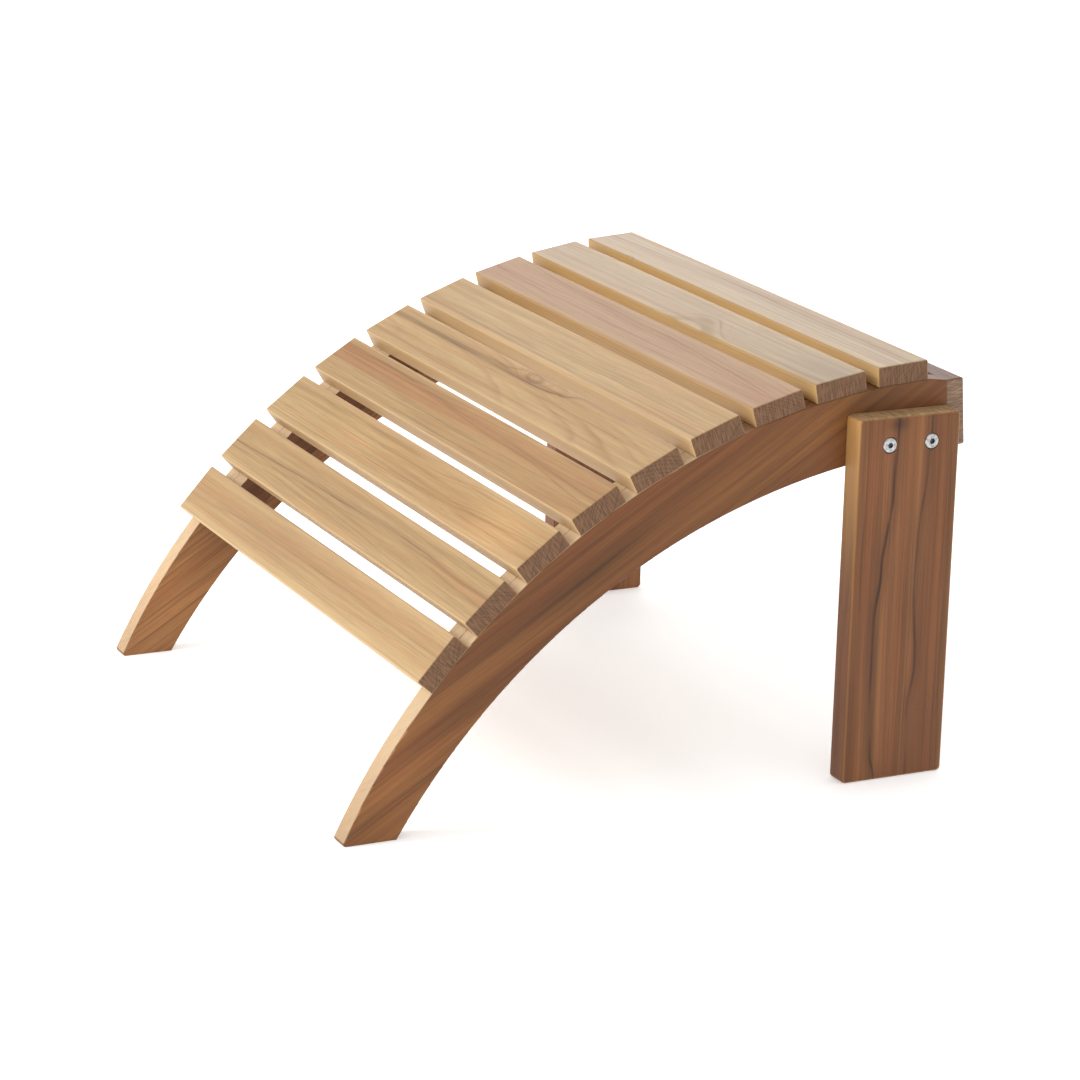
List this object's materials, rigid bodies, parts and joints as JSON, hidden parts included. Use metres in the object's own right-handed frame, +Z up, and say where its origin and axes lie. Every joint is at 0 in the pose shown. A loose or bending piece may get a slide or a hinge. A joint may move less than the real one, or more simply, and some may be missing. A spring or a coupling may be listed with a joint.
{
  "type": "garden footstool",
  "caption": "Slatted wooden footstool for an Adirondack chair: flat slats over two arched side rails whose low ends are the front feet, with bolted upright rear legs.",
  "frame": {"origin": "on the ground, in the middle of the footprint", "axes": "+X to the right side as seen from the low front end, +Y from the low front end to the high rear end with the legs, +Z up"},
  "size_m": [0.5834, 0.56, 0.3563],
  "materials": {
    "slat_teak": "fine sanded, unoiled teak, light honey",
    "frame_teak": "planed teak, mid brown with dark streaks",
    "bolt_steel": "satin stainless"
  },
  "bodies": {
    "root": {"slat_1": "slat_teak", "slat_2": "slat_teak", "slat_3": "slat_teak", "slat_4": "slat_teak", "slat_5": "slat_teak", "slat_6": "slat_teak", "slat_7": "slat_teak", "slat_8": "slat_teak", "slat_9": "slat_teak", "side_rail_left": "frame_teak", "side_rail_right": "frame_teak", "slat_batten_left": "frame_teak", "slat_batten_right": "frame_teak", "rear_leg_left": "frame_teak", "rear_leg_right": "frame_teak", "rear_apron": "frame_teak", "leg_bolts": "bolt_steel", "sleeve_nuts": "bolt_steel", "slat_screws": "bolt_steel", "batten_screws": "bolt_steel", "apron_screws": "bolt_steel"}
  },
  "joints": []
}
